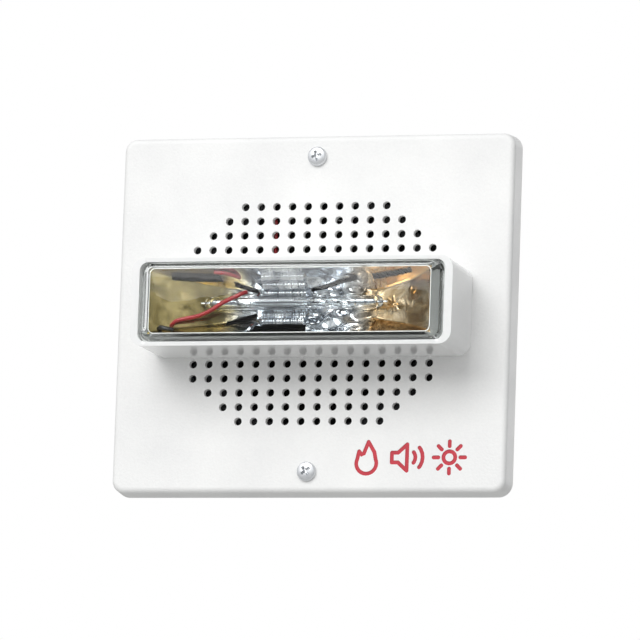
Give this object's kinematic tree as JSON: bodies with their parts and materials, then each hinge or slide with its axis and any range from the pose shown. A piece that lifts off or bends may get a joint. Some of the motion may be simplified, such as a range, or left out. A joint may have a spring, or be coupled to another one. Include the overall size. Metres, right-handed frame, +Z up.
{
  "type": "horn strobe",
  "caption": "Wall horn strobe: square perforated cover, strobe bar with clear lens and reflector across it, cone sounder and circuit board behind.",
  "frame": {"origin": "on the wall plane, at the centre of the four box screw holes, which is the centre of the cover", "axes": "+X to the right of someone facing the unit, +Y into the wall, +Z up"},
  "size_m": [0.143, 0.0886, 0.127],
  "materials": {
    "cover_paint": "fine textured white ABS",
    "red_fill": "satin red paint in the recesses",
    "zinc_screw": "bright zinc plate",
    "nylon": "natural nylon",
    "galvanised_steel": "zinc-plated sheet steel",
    "green_screw": "green passivated steel",
    "white_plastic": "moulded white plastic, smooth",
    "clear_lens": "clear polycarbonate",
    "pale_silicone": "matt",
    "reflector_metal": "vacuum-metallised plastic",
    "tube_glass": "borosilicate tube",
    "nickel": "nickel plate",
    "red_insulation": "PVC insulation",
    "black_insulation": "PVC insulation",
    "board_green": "solder resist on glass epoxy",
    "amber_resin": "varnished winding",
    "black_resin": "moulded component resin",
    "black_foam": "closed-cell foam",
    "basket_steel": "grey painted pressed steel",
    "ferrite": "ground ferrite",
    "cone_paper": "black pulp paper",
    "copper_wire": "enamelled copper wire",
    "black_cloth": "treated cloth",
    "amber_cloth": "phenolic-treated cloth",
    "phenolic": "phenolic sheet with plated tags",
    "brass": "nickel-free turned brass",
    "terminal_green": "moulded polyamide",
    "core_steel": "stacked laminations",
    "capacitor_sleeve": "shrunk PVC sleeve",
    "orange_plastic": "moulded knob"
  },
  "bodies": {
    "root": {"front_cover": "cover_paint", "cover_symbols": "red_fill", "screw_retainers": "nylon", "mounting_plate": "galvanised_steel", "ground_screw": "green_screw", "strobe_housing": "white_plastic", "strobe_screws": "zinc_screw", "strobe_lens": "clear_lens", "lens_seal": "pale_silicone", "reflector": "reflector_metal", "flash_tube": "tube_glass", "tube_electrodes": "nickel", "tube_sockets": "nylon", "trigger_band": "nickel", "trigger_lead": "red_insulation", "ground_lead": "black_insulation", "lamp_board": "board_green", "trigger_coil": "amber_resin", "lamp_board_parts": "black_resin", "driver_gasket": "black_foam", "driver_basket": "basket_steel", "driver_top_plate": "galvanised_steel", "driver_magnet": "ferrite", "driver_pole_plate": "galvanised_steel", "driver_surround": "black_cloth", "driver_spider": "amber_cloth", "driver_tags": "phenolic", "circuit_board": "board_green", "board_standoffs": "brass", "board_screws": "zinc_screw", "terminal_block": "terminal_green", "terminal_bars": "brass", "transformer_core": "core_steel", "transformer_coil": "amber_cloth", "flash_capacitor": "capacitor_sleeve", "power_choke": "copper_wire", "board_parts": "black_resin", "candela_switch": "black_resin", "level_switch": "black_resin", "lead_connector": "nylon", "strobe_lead_red": "red_insulation", "strobe_lead_black": "black_insulation", "sounder_lead_red": "red_insulation", "sounder_lead_black": "black_insulation"},
    "cover_screw_top": {"cover_screw_top": "zinc_screw"},
    "cover_screw_bottom": {"cover_screw_bottom": "zinc_screw"},
    "moving_coil": {"voice_coil": "copper_wire", "driver_cone": "cone_paper", "driver_dust_cap": "cone_paper"},
    "candela_slider": {"candela_slider": "nylon"},
    "level_knob": {"level_knob": "orange_plastic"},
    "terminal_screw_1": {"terminal_screw_1": "zinc_screw"},
    "terminal_clamp_1": {"terminal_clamp_1": "nickel"},
    "terminal_screw_2": {"terminal_screw_2": "zinc_screw"},
    "terminal_clamp_2": {"terminal_clamp_2": "nickel"},
    "terminal_screw_3": {"terminal_screw_3": "zinc_screw"},
    "terminal_clamp_3": {"terminal_clamp_3": "nickel"},
    "terminal_screw_4": {"terminal_screw_4": "zinc_screw"},
    "terminal_clamp_4": {"terminal_clamp_4": "nickel"}
  },
  "joints": [
    {"name": "cover_screw_top_turn", "type": "hinge", "parent": "root", "child": "cover_screw_top", "pos_m": [0, -0.009, 0.0555], "axis": [0, 1, 0], "continuous": true},
    {"name": "cover_screw_bottom_turn", "type": "hinge", "parent": "root", "child": "cover_screw_bottom", "pos_m": [0, -0.009, -0.0555], "axis": [0, 1, 0], "continuous": true},
    {"name": "cone_travel", "type": "slide", "parent": "root", "child": "moving_coil", "axis": [0, -1, 0], "range_m": [-0.0008, 0.0008], "stiffness_N_per_m": 1500, "deforming": ["driver_surround", "driver_spider"]},
    {"name": "candela_slide", "type": "slide", "parent": "root", "child": "candela_slider", "axis": [1, 0, 0], "range_m": [0, 0.006]},
    {"name": "level_turn", "type": "hinge", "parent": "root", "child": "level_knob", "pos_m": [-0.0315, 0.036, -0.019], "axis": [0, -1, 0], "range_deg": [0, 270]},
    {"name": "terminal_clamp_1_lift", "type": "slide", "parent": "root", "child": "terminal_clamp_1", "axis": [0, 1, 0], "range_m": [0, 0.0012]},
    {"name": "terminal_screw_1_turn", "type": "hinge", "parent": "root", "child": "terminal_screw_1", "pos_m": [-0.01425, 0.0436, -0.027], "axis": [0, -1, 0], "range_deg": [0, 720]},
    {"name": "terminal_clamp_2_lift", "type": "slide", "parent": "root", "child": "terminal_clamp_2", "axis": [0, 1, 0], "range_m": [0, 0.0012]},
    {"name": "terminal_screw_2_turn", "type": "hinge", "parent": "root", "child": "terminal_screw_2", "pos_m": [-0.00475, 0.0436, -0.027], "axis": [0, -1, 0], "range_deg": [0, 720]},
    {"name": "terminal_clamp_3_lift", "type": "slide", "parent": "root", "child": "terminal_clamp_3", "axis": [0, 1, 0], "range_m": [0, 0.0012]},
    {"name": "terminal_screw_3_turn", "type": "hinge", "parent": "root", "child": "terminal_screw_3", "pos_m": [0.00475, 0.0436, -0.027], "axis": [0, -1, 0], "range_deg": [0, 720]},
    {"name": "terminal_clamp_4_lift", "type": "slide", "parent": "root", "child": "terminal_clamp_4", "axis": [0, 1, 0], "range_m": [0, 0.0012]},
    {"name": "terminal_screw_4_turn", "type": "hinge", "parent": "root", "child": "terminal_screw_4", "pos_m": [0.01425, 0.0436, -0.027], "axis": [0, -1, 0], "range_deg": [0, 720]}
  ],
  "couplings": [
    {"joint": "terminal_screw_1_turn", "follows": "terminal_clamp_1_lift", "rad_per_m": 10472},
    {"joint": "terminal_screw_2_turn", "follows": "terminal_clamp_2_lift", "rad_per_m": 10472},
    {"joint": "terminal_screw_3_turn", "follows": "terminal_clamp_3_lift", "rad_per_m": 10472},
    {"joint": "terminal_screw_4_turn", "follows": "terminal_clamp_4_lift", "rad_per_m": 10472}
  ]
}
